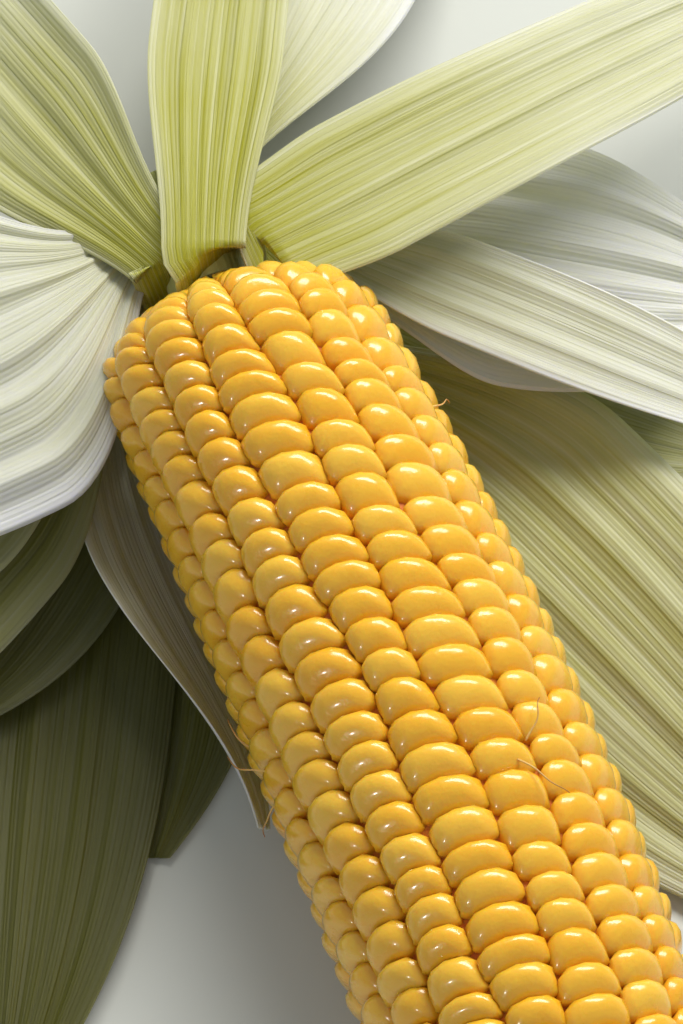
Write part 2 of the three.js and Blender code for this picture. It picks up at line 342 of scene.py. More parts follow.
@dataclass(frozen=True)
class HuskFinish:
    """Inner face of a husk leaf: cream to yellow-green, ribbed along its length, satin and translucent."""

    cream: Colour = srgb(208, 208, 200)
    green: Colour = srgb(148, 146, 10)
    # painted shade: leaves that lie in shadow are darkened towards this colour
    painted_shade_olive: Colour = srgb(56, 56, 12)
    vein: Colour = srgb(226, 226, 214)
    vein_spacing: float = 1.9
    vein_strength: float = 0.14
    fine_ratio: float = 2.7
    patches_per_metre: float = 60.0
    roughness: float = 0.5
    relief: float = 0.00016
    translucency: float = 0.5
    scatter: Triple = (1.0, 1.0, 0.42)
    scatter_depth: float = 0.0018
    refraction: float = 1.4

    def material(self, leaf: "HuskLeaf") -> bpy.types.Material:
        """Pale by the mesh's own paleness and darker by its painted shade, streaked along the leaf, with raised
        veins between fine grooves.

        A vein is where sin(pi * width / spacing * across + drift) is high, with finer veins between; drift is a
        slow noise stretched along the leaf, so that the veins wander. Lightness: pale + streak / 2 + patches / 4.

        Args:
            leaf: The leaf that it is for.

        Returns:
            The material.
        """
        sheet = NodeSheet(leaf.name + "_skin")
        pale, shade, across, along = (sheet.attribute(name) for name in ("pale", "shade", "across", "along"))
        place = sheet.node("ShaderNodeCombineXYZ", {}, {"X": across * 9.0, "Y": along * 1.2}).outputs[0]
        streak = sheet.number("ShaderNodeTexNoise", {}, {"Vector": place, "Scale": 2.2, "Detail": 4.0})
        broad = sheet.noise(self.patches_per_metre, 2.0)
        drift = streak * 5.0
        veins = leaf.width / self.vein_spacing * math.pi
        rib = (across * veins + drift).sine() * 0.5 + 0.5
        fine = (across * (veins * self.fine_ratio) + drift * 1.7).sine() * 0.5 + 0.5
        ribbed = rib * 0.65 + fine * 0.35
        lightness = (pale + streak * 0.5 - 0.25 + broad * 0.24 - 0.12).held()
        body = sheet.blend(lightness, self.green, self.cream)
        lined = sheet.blend((ribbed ** 3.0) * self.vein_strength, body, self.vein)
        # painted shade: darkens a leaf towards the painted shade colour by its shade value
        shaded = sheet.blend(shade, lined, self.painted_shade_olive)
        return sheet.surface({
            "Base Color": shaded,
            "Roughness": (self.roughness - ribbed * 0.12 + streak * 0.1).held(),
            "Normal": sheet.bump(ribbed + streak * 0.6, self.relief, 0.8),
            "Subsurface Weight": self.translucency,
            "Subsurface Radius": self.scatter,
            "Subsurface Scale": self.scatter_depth,
            "IOR": self.refraction,
        })


@dataclass(frozen=True)
class ShankFinish:
    """The cut stub of stem: pale green skin with fibres, and a cream cut face with darker bundles."""

    skin: Colour = srgb(196, 202, 128)
    scar: Colour = srgb(150, 136, 70)
    pith: Colour = srgb(226, 220, 176)
    fibres_per_metre: float = 1500.0
    fibre_stretch: Triple = (1.0, 0.06, 1.0)
    bundles_per_metre: float = 1900.0
    relief: float = 0.0003
    translucency: float = 0.25
    scatter: Triple = (1.0, 1.0, 0.4)
    scatter_depth: float = 0.002

    def material(self) -> bpy.types.Material:
        """Skin with fibres along it; attribute cut is 1 on the cut face and scar is 1 on the leaf scars."""
        sheet = NodeSheet("shank_skin")
        fibre = sheet.noise(self.fibres_per_metre, 3.0, self.fibre_stretch)
        cut, scar = (sheet.attribute(name) for name in ("cut", "scar"))
        skin = sheet.blend((fibre * 1.6 - 0.5).held() * 0.5, self.skin, self.scar)
        ringed = sheet.blend(scar, skin, self.scar)
        bundle = sheet.noise(self.bundles_per_metre, 1.0)
        dots = sheet.blend((bundle * 6.0 - 3.6).held(), self.pith, self.scar)
        return sheet.surface({
            "Base Color": sheet.blend(cut, ringed, dots),
            "Roughness": (fibre * 0.25 + 0.5).held(),
            "Normal": sheet.bump(fibre, self.relief),
            "Subsurface Weight": self.translucency,
            "Subsurface Radius": self.scatter,
            "Subsurface Scale": self.scatter_depth,
        })


@dataclass(frozen=True)
class SilkFinish:
    """A dried strand of silk."""

    root: Colour = srgb(226, 190, 108)
    tip: Colour = srgb(150, 96, 40)
    grains_per_metre: float = 2500.0
    translucency: float = 0.3
    scatter_depth: float = 0.0005

    def material(self) -> bpy.types.Material:
        """Straw at the root, browner towards the tip."""
        sheet = NodeSheet("silk_strand")
        along = sheet.attribute("along")
        grain = sheet.noise(self.grains_per_metre, 1.0)
        return sheet.surface({
            "Base Color": sheet.blend((along * 0.8 + grain * 0.3).held(), self.root, self.tip),
            "Roughness": (grain * 0.2 + 0.3).held(),
            "Subsurface Weight": self.translucency,
            "Subsurface Scale": self.scatter_depth,
        })


@dataclass(frozen=True)
class FloorFinish:
    """Plain pale studio floor."""

    pale: Colour = srgb(206, 208, 200)
    dim: Colour = srgb(198, 200, 192)

    def material(self) -> bpy.types.Material:
        """Pale, with a barely uneven tone."""
        sheet = NodeSheet("studio_floor")
        cloud = sheet.noise(3.0, 2.0)
        return sheet.surface({
            "Base Color": sheet.blend(cloud, self.dim, self.pale),
            "Roughness": 0.85,
            "Specular IOR Level": 0.15,
        })


# ---- meshes


def grid_faces(rows: int, columns: int, closed: bool, first: int = 0) -> np.ndarray:
    """Quads between neighbouring points of a grid stored row by row.

    Args:
        rows: Rows of points.
        columns: Points in a row.
        closed: Whether the last column joins the first.
        first: Index of the grid's first point.

    Returns:
        Array of quads: (a, a + 1, a + 1 + columns, a + columns).
    """
    steps = columns if closed else columns - 1
    row, column = np.meshgrid(np.arange(rows - 1), np.arange(steps), indexing="ij")
    a = row * columns + column
    b = row * columns + (column + 1) % columns
    return first + np.stack([a, b, b + columns, a + columns], -1).reshape(-1, 4)


def ring_fan(ring: np.ndarray, centre: int) -> np.ndarray:
    """Triangles from each side of a ring of points to a centre: (ring k, ring k + 1, centre)."""
    return np.stack([ring, np.roll(ring, -1), np.full_like(ring, centre)], -1)


def tube_faces(rows: int, sides: int) -> list[np.ndarray]:
    """Faces of a closed tube, outwards where its rings run towards the ear's tip: bands, and a fan at each end.

    Args:
        rows: Number of rings, stored one after another.
        sides: Points in a ring. The middle points of the first and the last end follow the rings.

    Returns:
        Arrays of faces.
    """
    ring = np.arange(sides)
    count = rows * sides
    return [
        grid_faces(rows, sides, True)[:, ::-1],
        ring_fan(ring, count),
        ring_fan(count - sides + ring, count + 1)[:, ::-1],
    ]


def sheet_rim(rows: int, columns: int) -> np.ndarray:
    """Indices round the border of a grid, in one turn: first row, last column, last row, first column."""
    across = np.arange(columns - 1)
    down = np.arange(rows - 1)
    last = (rows - 1) * columns
    return np.concatenate([
        across,
        down * columns + columns - 1,
        last + columns - 1 - across,
        last - down * columns,
    ])


def make_piece(name: str, points: np.ndarray, faces: list[np.ndarray], material: bpy.types.Material,
               values: dict[str, np.ndarray]) -> bpy.types.Object:
    """Puts points and faces into a smooth-shaded mesh object.

    Args:
        name: The piece's name.
        points: Points in millimetres in the row frame.
        faces: Arrays of quads or triangles.
        material: Its only material.
        values: Numbers at the points that the material reads, by attribute name.

    Returns:
        The object, at the origin.
    """
    mesh = bpy.data.meshes.new(name)
    polygons = [face for block in faces for face in block.tolist()]
    mesh.from_pydata((points * MM).tolist(), [], polygons)
    mesh.polygons.foreach_set("use_smooth", np.ones(len(mesh.polygons), bool))
    for key, numbers in values.items():
        layer = mesh.attributes.new(key, "FLOAT", "POINT")
        layer.data.foreach_set("value", np.asarray(numbers, np.float32).ravel())
    mesh.materials.append(material)
    mesh.update()
    piece = bpy.data.objects.new(name, mesh)
    bpy.context.scene.collection.objects.link(piece)
    return piece


def settle(piece: bpy.types.Object, slot: Slot, *nodes: str) -> None:
    """Gives a piece its body, hides the CAD nodes that it stands for, and reports it."""
    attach(piece, BODY)
    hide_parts(*nodes)
    LOG.info("%s: %d faces for %s", piece.name, len(piece.data.polygons), ", ".join(nodes))


# ---- the ear


@dataclass
class EarForm:
    """Outline and middle line of the ear, as the CAD source has them."""

    length: float = 180.0
    radius: float = 23.7
    butt_dome: float = 16.0
    tip_taper: float = 85.0
    butt_face: float = 7.5
    tip_radius: float = 4.0
    dome_roundness: float = 3.6
    tip_roundness: float = 2.6
    barrel_middle: float = 77.0
    barrel_thinning: float = 0.00002
    bow_slope: float = 0.107
    bow_reach: float = 209.0
    axis_height: float = 33.5
    axis_drop: float = math.radians(5.5)
    shank_length: float = 18.0
    shank_radius: float = 6.0
    scar_swell: float = 0.5
    first_scar: float = 4.0
    outline_steps: int = 3000

    def __post_init__(self) -> None:
        """Finds the design origin from the shank's box, and the outline as a table over its own length."""
        low, high = (np.array(corner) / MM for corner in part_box("shank"))
        sine, cosine = math.sin(self.axis_drop), math.cos(self.axis_drop)
        beyond = self.shank_length * cosine + self.shank_radius * sine
        below = (self.shank_radius + self.scar_swell) * cosine - self.first_scar * sine
        height = low[2] - self.axis_height + below
        self.origin = np.array([(low[0] + high[0]) / 2, high[1] - beyond, height])
        turn = np.linspace(0, math.pi, self.outline_steps)
        along = self.length * (1 - np.cos(turn)) / 2
        out = self.outline(along)
        step = np.hypot(np.diff(along), np.diff(out))
        self.table_along, self.table_out = along, out
        self.table_arc = np.concatenate([[0], np.cumsum(step)])
        self.arc_length = float(self.table_arc[-1])
        rising = self.table_arc + np.arange(len(out)) * 1e-9
        slope_out, slope_along = np.gradient(out, rising), np.gradient(along, rising)
        size = np.hypot(slope_out, slope_along)
        self.table_lean, self.table_rise = -slope_out / size, slope_along / size

    def outline(self, along: np.ndarray) -> np.ndarray:
        """Radius over the crowns: barrel * sqrt(1 - dome ** dome_roundness) * sqrt(1 - tip ** tip_roundness).

        Neither end gets narrower than its own least radius.

        Args:
            along: Distance from the butt.

        Returns:
            Radius there.
        """
        barrel = self.radius * (1 - self.barrel_thinning * (along - self.barrel_middle) ** 2)
        dome = np.sqrt(1 - np.maximum(0, 1 - along / self.butt_dome) ** self.dome_roundness)
        into = np.clip((along - self.length + self.tip_taper) / self.tip_taper, 0, 1)
        tip = np.sqrt(1 - into ** self.tip_roundness)
        least = np.where(along < self.butt_dome, self.butt_face, self.tip_radius)
        return np.maximum(barrel * dome * tip, least)

    def bow(self, along: np.ndarray) -> np.ndarray:
        """Sideways bend of the middle line: slope * along * (1 - along / reach)."""
        return self.bow_slope * along * (1 - along / self.bow_reach)

    def on_axis(self, local: np.ndarray) -> np.ndarray:
        """Turns points of the ear's own frame by the axis drop about X and moves them to the row frame."""
        sine, cosine = math.sin(self.axis_drop), math.cos(self.axis_drop)
        x, y, z = local[..., 0], local[..., 1], local[..., 2]
        turned = np.stack([x, y * cosine - z * sine, y * sine + z * cosine + self.axis_height], -1)
        return turned + self.origin

    def skin_point(self, arc: np.ndarray, angle: np.ndarray, height: np.ndarray) -> np.ndarray:
        """Point at a distance along the outline, an angle round the ear and a height over the crowns' surface.

        The outline's point plus height times its outward normal, carried round the bowed middle line.

        Args:
            arc: Distance along the outline from the butt.
            angle: Radians, 0 on top, positive to -X.
            height: Height over the surface.

        Returns:
            Points in the row frame, in millimetres.
        """
        along = np.interp(arc, self.table_arc, self.table_along)
        out = np.interp(arc, self.table_arc, self.table_out)
        along = along + height * np.interp(arc, self.table_arc, self.table_lean)
        out = np.maximum(out + height * np.interp(arc, self.table_arc, self.table_rise), 0.3)
        local = np.stack([self.bow(along) - np.sin(angle) * out, -along, np.cos(angle) * out], -1)
        return self.on_axis(local)


@dataclass
class Kernels:
    """Rows of kernels, each a rounded crown on a tapering root, pressed against its neighbours.

    swell and root are the heights of a crown and of the root under it, on a kernel that is usual_half long each
    way from its middle; others are higher or lower within bulge_limits. Paces between the creases shorten to
    tip_share of their first length, and uneven is how far they scatter at the butt and, past even_from, further
    on. waves are heights in radians and lengths, for the creases between rows. overlap is how far a kernel
    reaches into its neighbours, along the row and across it. round_power and flat_power shape a crown along and
    across. lean, arch and tilt are explained in build_row, and fade in over the ramps. In the butt_zone kernels
    are squarer, with dimples. slant, taper and sinking are how far kernels differ, and tones are their mean tone
    and its two spreads.
    """

    form: EarForm
    rows: int = 16
    per_row: int = 43
    tip_share: float = 0.9
    swell: float = 3.1
    lean: float = 0.5
    arch: float = 1.0
    tilt: float = 7.0
    tilt_middle: float = math.radians(25)
    tilt_ramp: float = 45.0
    end_ramp: float = 6.0
    overlap: tuple[float, float] = (1.16, 1.09)
    uneven: tuple[float, float] = (0.19, 0.09)
    even_from: tuple[float, float] = (0.05, 0.4)
    pace_limits: tuple[float, float] = (0.62, 1.42)
    waves: tuple[tuple[float, float], ...] = ((0.05, 170.0), (0.022, 62.0), (0.014, 27.0))
    common_phase: float = 0.8
    round_power: float = 2.0
    flat_power: float = 2.4
    usual_half: float = 2.4
    bulge_limits: tuple[float, float] = (0.75, 1.25)
    root: float = 2.6
    root_share: float = 0.94
    sides: int = 12
    squareness: float = 2.7
    butt_zone: tuple[float, float] = (8.0, 60.0)
    dimple: float = 0.5
    slant: float = 0.1
    taper: float = 0.04
    sinking: float = 0.22
    tones: Triple = (0.55, 0.2, 0.16)
    seed: int = 11
    rings: tuple[float, ...] = (0.42, 0.72, 0.91, 1.0)

    def __post_init__(self) -> None:
        """Draws the rows' own wander and tone, in a fixed order."""
        self.random = np.random.default_rng(self.seed)
        self.phases = self.random.uniform(0, 2 * math.pi, (self.rows, 2))

    def border(self, row: int, arc: np.ndarray) -> np.ndarray:
        """Angle of the crease before a row: an even share of the turn, and three waves along the ear.

        A wave is height * sin(2 * pi * arc / length + phase). The longest is common to all rows, and the others
        are each row's own.

        Args:
            row: The row's number; the crease after the last row is the one before the first, a turn on.
            arc: Distance along the outline.

        Returns:
            Angles in radians.
        """
        angle = 2 * math.pi * row / self.rows
        phases = (self.common_phase, *self.phases[row % self.rows])
        for (height, length), phase in zip(self.waves, phases):
            angle = angle + height * np.sin(2 * math.pi * arc / length + phase)
        return angle

    def cuts(self) -> np.ndarray:
        """Distances of the creases across one row: paces that shorten towards the tip, each drawn a little off.

        Returns:
            per_row + 1 distances along the outline.
        """
        share = (np.arange(self.per_row) + 0.5) / self.per_row
        pace = 1 - (1 - self.tip_share) * share
        uneven = self.random.normal(0, mix(*self.uneven, smoothstep(*self.even_from, share)))
        pace = pace * np.clip(1 + uneven, *self.pace_limits)
        edges = np.concatenate([[0], np.cumsum(pace)])
        return edges / edges[-1] * self.form.arc_length

    def crown(self, square: np.ndarray, lumps: np.ndarray) -> tuple[np.ndarray, np.ndarray, np.ndarray]:
        """One kernel's shape for each given squareness, as shares of its half width, half length and height.

        Plan: (cos, sin) ** (2 / squareness), kept in sign. Height: -swell * (1 - sqrt(1 - |v| ** round_power) *
        sqrt(1 - |u| ** flat_power)), with u across and v along: round along the row, and flatter across it.
        A lump lowers a ring by lump * (1 + cos(2 * turn)) * (1 - ring) * ring, a shallow dimple on both sides.

        Args:
            square: Squareness of each kernel.
            lumps: Depth of each kernel's dimples, in millimetres.

        Returns:
            Across, along and height of the points, one row for each kernel: pole, rings, root ring, root centre.
        """
        turn = 2 * math.pi * np.arange(self.sides) / self.sides
        power = 2 / square[:, None]
        across = np.sign(np.cos(turn)) * np.abs(np.cos(turn)) ** power
        along = np.sign(np.sin(turn)) * np.abs(np.sin(turn)) ** power
        count = len(square)
        plan = [np.zeros((count, 1, 2))]
        height = [np.zeros((count, 1))]
        for ring in self.rings:
            u, v = np.abs(across * ring), np.abs(along * ring)
            plan.append(np.stack([across, along], -1) * ring)
            round_along = np.sqrt(np.maximum(0, 1 - v ** self.round_power))
            flat_across = np.sqrt(np.maximum(0, 1 - u ** self.flat_power))
            dimple = -lumps[:, None] * (1 + np.cos(2 * turn)) * (1 - ring) * ring
            height.append(-self.swell * (1 - round_along * flat_across) + dimple)
        plan.append(np.stack([across, along], -1) * self.root_share)
        height.append(np.full((count, self.sides), -self.swell - self.root))
        plan.append(np.zeros((count, 1, 2)))
        height.append(np.full((count, 1), -self.swell - self.root))
        flat = np.concatenate(plan, 1)
        return flat[..., 0], flat[..., 1], np.concatenate(height, 1)

    def faces(self, count: int) -> list[np.ndarray]:
        """Faces of a number of kernels: a fan at the pole, bands between rings and a fan under the root."""
        size = 2 + self.sides * (len(self.rings) + 1)
        ring = np.arange(self.sides)
        top = ring_fan(1 + ring, 0)
        bands = grid_faces(len(self.rings) + 1, self.sides, True, 1)[:, ::-1]
        last = 1 + self.sides * len(self.rings)
        under = ring_fan(last + ring, size - 1)[:, ::-1]
        start = size * np.arange(count)[:, None, None]
        return [(start + block).reshape(-1, block.shape[1]) for block in (top, bands, under)]

    def build_row(self, row: int, material: bpy.types.Material) -> None:
        """One row as a piece. A kernel's point lies at middle + share * half size both ways, sunk by its height.

        Along the row it also moves by three amounts that fade at both ends: -arch * (1 - across ** 2) bends the
        creases, -lean * height leans the kernels towards the butt, and -tilt * cos(angle - tilt_middle) slants
        them most along the ear's sides. Where the ear is thin or a kernel short, the crowns are lower.

        Args:
            row: The row's number, from 0.
            material: The kernels' skin.
        """
        edges = self.cuts()
        middle, half = (edges[1:] + edges[:-1]) / 2, (edges[1:] - edges[:-1]) / 2
        count = self.per_row
        draw = self.random.uniform(-1, 1, (7, count))
        near_butt = 1 - smoothstep(*self.butt_zone, middle)
        square = self.squareness + 0.5 * draw[0] + 0.5 * near_butt
        across, along, height = self.crown(square, np.abs(draw[1]) * self.dimple * near_butt)
        slant = self.slant * draw[2][:, None] * across
        whole = self.form.arc_length
        arc = middle[:, None] + (along * self.overlap[0] + slant) * half[:, None]
        arc = np.clip(arc, ARC_EDGE, whole - ARC_EDGE)
        turn = 2 * math.pi * (row + 0.5 + across / 2) / self.rows - self.tilt_middle
        fade = smoothstep(0, self.tilt_ramp, arc) * smoothstep(0, self.tilt_ramp, whole - arc)
        ends = smoothstep(0, self.end_ramp, arc) * smoothstep(0, self.end_ramp, whole - arc)
        bent = self.arch * (1 - across ** 2) + self.lean * height
        arc = arc - self.tilt * np.cos(turn) * fade - ends * bent
        arc = np.clip(arc, ARC_EDGE, whole - ARC_EDGE)
        before, after = self.border(row, arc), self.border(row + 1, arc)
        taper = self.overlap[1] + self.taper * draw[3][:, None] * along
        angle = (before + after) / 2 + across * taper * (after - before) / 2
        thin = np.interp(arc, self.form.table_arc, self.form.table_out) / self.form.radius
        bulge = np.clip(half / self.usual_half, *self.bulge_limits)[:, None] * np.clip(thin * 1.3, 0.3, 1)
        lift = self.sinking * draw[4][:, None]
        points = self.form.skin_point(arc, angle, height * bulge + np.minimum(lift, 0.0))
        size = across.shape[1]
        # depth drives the root's deeper orange and the painted crease shade in the kernel skin
        depth = np.clip(-height / (self.swell + 0.4), 0, 1)
        tone = np.repeat(self.tones[0] + self.tones[1] * draw[5] + self.tones[2] * draw[6], size)
        values = {"depth": depth, "tone": tone}
        name = f"kernel_row_{row + 1:02d}"
        piece = make_piece(name, points.reshape(-1, 3), self.faces(count), material, values)
        settle(piece, Slot.KERNELS, "ear")

    def build(self) -> None:
        """All rows, with one skin between them."""
        material = KernelFinish().material()
        for row in range(self.rows):
            self.build_row(row, material)


@dataclass
class Cob:
    """The cob's own surface, under the kernels."""

    form: EarForm
    sunk: float = 2.9
    butt_inset: float = 1.0
    sides: int = 48
    steps: int = 90

    def build(self) -> None:
        """A closed skin a set depth under the crowns, with both ends drawn in to a point on the axis."""
        arc, angle = np.meshgrid(np.linspace(0, self.form.arc_length, self.steps),
                                 2 * math.pi * np.arange(self.sides) / self.sides, indexing="ij")
        skin = self.form.skin_point(arc, angle, np.full_like(arc, -self.sunk))
        far = self.form.length
        ends = self.form.on_axis(np.array([[0, -self.butt_inset, 0], [self.form.bow(far), -far, 0]]))
        points = np.concatenate([skin.reshape(-1, 3), ends])
        faces = tube_faces(self.steps, self.sides)
        piece = make_piece("cob_skin", points, faces, CobFinish().material(), {})
        settle(piece, Slot.KERNELS, "ear")


@dataclass
class Shank:
    """The cut stub of stem that carries the ear and the leaves."""

    form: EarForm
    gap: float = FIT_GAP
    scars: tuple[float, ...] = (4.0, 9.0, 14.0)
    sides: int = 48
    steps: int = 120
    ribs: int = 14
    rib_height: float = 0.12
    scar_width: float = 0.7
    scar_waver: float = 0.25
    cut_share: float = 0.93
    cut_depth: float = 0.25

    def build(self) -> None:
        """Ribbed stub of radius + swell * exp(-(way to scar / width) ** 2) + rib_height * cos(ribs * angle)."""
        form = self.form
        along, angle = np.meshgrid(np.linspace(self.gap, form.shank_length, self.steps),
                                   2 * math.pi * np.arange(self.sides) / self.sides, indexing="ij")
        waver = self.scar_waver * np.sin(2 * angle)
        scar = sum(np.exp(-((along - place - waver) / self.scar_width) ** 2) for place in self.scars)
        out = form.shank_radius + form.scar_swell * scar + self.rib_height * np.cos(self.ribs * angle)
        skin = np.stack([-np.sin(angle) * out, along, np.cos(angle) * out], -1)
        cut_ring = skin[-1] * np.array([self.cut_share, 1, self.cut_share])
        ends = np.array([[0, self.gap, 0], [0, form.shank_length - self.cut_depth, 0]])
        points = form.on_axis(np.concatenate([skin.reshape(-1, 3), cut_ring, ends]))
        faces = [block[:, ::-1] for block in tube_faces(self.steps + 1, self.sides)]
        cut = np.concatenate([np.zeros(skin.shape[0] * self.sides), np.ones(self.sides), [0, 1]])
        scars = np.concatenate([np.clip(scar, 0, 1).ravel() * 0.6, np.zeros(self.sides + 2)])
        piece = make_piece("shank_stub", points, faces, ShankFinish().material(), {"cut": cut, "scar": scars})
        settle(piece, Slot.SHANK, "shank")


# ---- the husk


@dataclass
class HuskLeaf:
    """One husk leaf: a strip along a curved midrib, with pleats, a wavy edge and its own paleness.

    seat, heading, turn, reach, foot, drop, rise, width, base, widest, roll and cup mean what they mean in the CAD
    source and have its values, apart from left_broad, back_left, back and back_long: their bases are broader and
    set out a little differently. The rest are looks. pleat is the height of its long folds and folds how many
    there are. ruffle and waves are the height and number of the waves along its edges. pale is its paleness at
    base, middle and tip, and shade is painted shade: how far the leaf is darkened where it lies in shadow. tuck
    is how far the leaf runs on past its seat, in x, y and z, down between the ear and the shank.
    """

    name: str
    seat: Triple
    heading: float
    turn: float
    reach: float
    foot: float
    drop: float
    rise: float
    width: float
    base: float
    widest: float
    roll: tuple[float, float]
    cup: float
    pleat: float = 0.4
    folds: float = 4.0
    ruffle: float = 0.8
    waves: float = 1.5
    pale: Triple = (0.1, 0.6, 0.9)
    # painted shade: how far this leaf is darkened where it lies in shadow
    shade: float = 0.0
    tuck: Triple = (0.0, 0.0, 0.0)
    tip_share: float = 0.22
    closing: float = 1.5
    cup_start: float = 0.25
    thickness: float = 0.5
    rim_thinning: float = 0.6
    edge_paleness: float = 0.3
    clearance: float = 0.05
    steps_along: int = 84
    steps_across: int = 64
    seed: int = 0

    def half_width(self, share: np.ndarray) -> np.ndarray:
        """Half of width * growing * closing: it widens from the base and closes in to a blunt tip.

        Args:
            share: Share of the leaf's length.

        Returns:
            Half widths.
        """
        growing = smoothstep(0, self.widest, share)
        closing = np.maximum(0, (share - self.widest) / (1 - self.widest))
        tipped = mix(self.tip_share, 1, np.cos(math.pi / 2 * closing ** self.closing))
        return self.width / 2 * mix(self.base, 1, growing) * tipped

    def midrib(self, form: EarForm, share: np.ndarray) -> np.ndarray:
        """Middle line: out from the seat on a turning heading, while it falls from the seat's height to the foot.

        Height: foot + fall * left ** drop + 4 * rise * s * left. Before the seat, where s is below 0, the line
        runs to the end of the tuck as (s / tuck's share) ** tuck's curve.

        Args:
            form: The ear, for the height and slope of the shank.
            share: Share of the leaf's length, s; left is 1 - s.

        Returns:
            Points in the design frame.
        """
        along, around, stand_off = self.seat
        start = form.shank_radius + form.scar_swell + FIT_GAP + CAD_RIPPLE + CAD_LEAF + stand_off
        seat_x = -start * math.sin(math.radians(around))
        seat_z = form.axis_height + along * math.sin(form.axis_drop) + start * math.cos(math.radians(around))
        past = (np.maximum(0, -share)[:, None] / TUCK_SHARE) ** TUCK_CURVE * np.array(self.tuck)
        share = np.maximum(0, share)
        out = (self.reach - start) * share
        left = 1 - share
        heading = np.radians(self.heading + self.turn * left ** 2)
        height = self.foot + (seat_z - self.foot) * left ** self.drop + 4 * self.rise * share * left
        return past + np.stack([seat_x - out * np.sin(heading), along + out * np.cos(heading), height], -1)

    def surface(self, form: EarForm) -> tuple[np.ndarray, np.ndarray, np.ndarray, np.ndarray]:
        """Middle surface of the leaf on a grid of share and across.

        midrib + side * across * half + normal * (cup + pleats + ruffle); roll turns side about the midrib.
        The pleats are two sets of cosine folds across the leaf, one 1.7 times as fine as the other.

        Args:
            form: The ear.

        Returns:
            Points in the row frame, normals, share and across.
        """
        rng = np.random.default_rng(self.seed)
        phase = rng.uniform(0, 2 * math.pi, 6)
        first = -TUCK_SHARE if any(self.tuck) else 0.0
        share, across = np.meshgrid(np.linspace(first, 1, self.steps_along + 1),
                                    np.linspace(-1, 1, self.steps_across + 1), indexing="ij")
        line = share[:, 0]
        centre = self.midrib(form, line)
        ahead, behind = np.minimum(1, line + TANGENT_STEP), np.maximum(first, line - TANGENT_STEP)
        tangent = self.midrib(form, ahead) - self.midrib(form, behind)
        tangent /= np.linalg.norm(tangent, axis=1, keepdims=True)
        level = np.stack([-tangent[:, 1], tangent[:, 0], np.zeros_like(line)], -1)
        level /= np.linalg.norm(level, axis=1, keepdims=True)
        roll = np.radians(mix(self.roll[0], self.roll[1], line))[:, None]
        side = level * np.cos(roll) + np.cross(tangent, level) * np.sin(roll)
        normal = np.cross(tangent, side)
        half = self.half_width(share)
        grown = smoothstep(0, self.cup_start, share)
        cup = self.cup * half * across ** 2 * grown
        long_folds = 0.6 * np.cos(math.pi * self.folds * across + phase[0] + 1.6 * share)
        short_folds = 0.4 * np.cos(math.pi * self.folds * 1.7 * across + phase[1] - 2.4 * share)
        pleats = self.pleat * (long_folds + short_folds) * (0.25 + 0.75 * grown)
        wave = np.sin(2 * math.pi * self.waves * share + phase[2] + 0.9 * np.sign(across))
        ruffle = self.ruffle * np.abs(across) ** 3 * wave * smoothstep(0.1, 0.5, share)
        lift = (cup + pleats + ruffle)[..., None]
        points = centre[:, None] + side[:, None] * (across * half)[..., None] + normal[:, None] * lift
        return points + form.origin, np.broadcast_to(normal[:, None], points.shape), share, across

    def paleness(self, share: np.ndarray, across: np.ndarray) -> np.ndarray:
        """Paleness from base to middle to tip, plus edge_paleness * across ** 6."""
        along = np.interp(share, [0.0, 0.5, 1.0], self.pale)
        return np.clip(along + self.edge_paleness * across ** 6, 0, 1)

    def build(self, form: EarForm) -> None:
        """A closed sheet: the middle surface moved half a thickness both ways, thinner towards its joined rim.

        Args:
            form: The ear.
        """
        middle, normal, share, across = self.surface(form)
        rows, columns = share.shape
        thick = self.thickness / 2 * (1 - self.rim_thinning * np.abs(across) ** 8)[..., None]
        upper = (middle + normal * thick).reshape(-1, 3)
        lower = (middle - normal * thick).reshape(-1, 3)
        rim = sheet_rim(rows, columns)
        after = np.roll(rim, -1)
        count = rows * columns
        faces = [
            grid_faces(rows, columns, False),
            grid_faces(rows, columns, False, count)[:, ::-1],
            np.stack([rim, rim + count, after + count, after], -1),
        ]
        pale = self.paleness(share, across)
        # shade carries the painted shade of leaves that lie in shadow
        values = {"pale": pale, "shade": np.full_like(share, self.shade), "across": across, "along": share}
        doubled = {key: np.concatenate([value.ravel()] * 2) for key, value in values.items()}
        points = np.concatenate([upper, lower])
        points[:, 2] = np.maximum(points[:, 2], self.clearance)
        piece = make_piece("leaf_" + self.name, points, faces, HuskFinish().material(self), doubled)
        settle(piece, Slot.HUSK, "husk_leaf_" + self.name)


